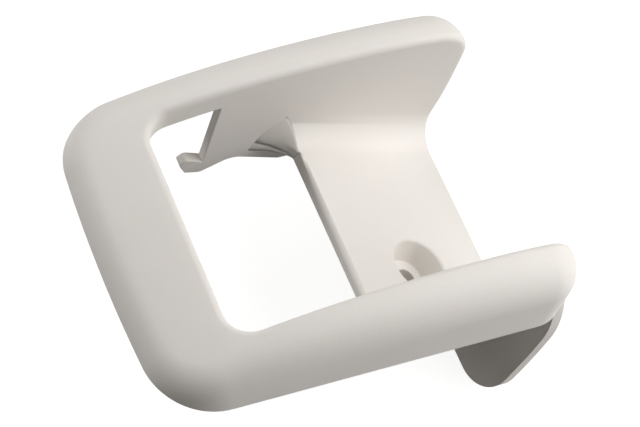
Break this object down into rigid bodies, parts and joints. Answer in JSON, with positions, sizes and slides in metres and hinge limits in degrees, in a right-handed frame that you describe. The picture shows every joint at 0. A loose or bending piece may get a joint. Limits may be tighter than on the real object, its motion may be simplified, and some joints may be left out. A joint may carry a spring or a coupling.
{
  "type": "injection moulded plastic housing",
  "caption": "Moulded plastic mounting housing: rounded U-shaped front frame, sloping plate with a recessed screw hole, snap hooks and a flared end sheet.",
  "frame": {"origin": "bottom middle of the bounding box, level with the foot of the end sheet", "axes": "+X along the arms to the open end, +Y across the channel, +Z out of the front face"},
  "size_m": [0.0884, 0.0684, 0.0536],
  "materials": {
    "housing": "fine matt moulded texture, warm off-white"
  },
  "bodies": {
    "root": {"housing": "housing"}
  },
  "joints": []
}
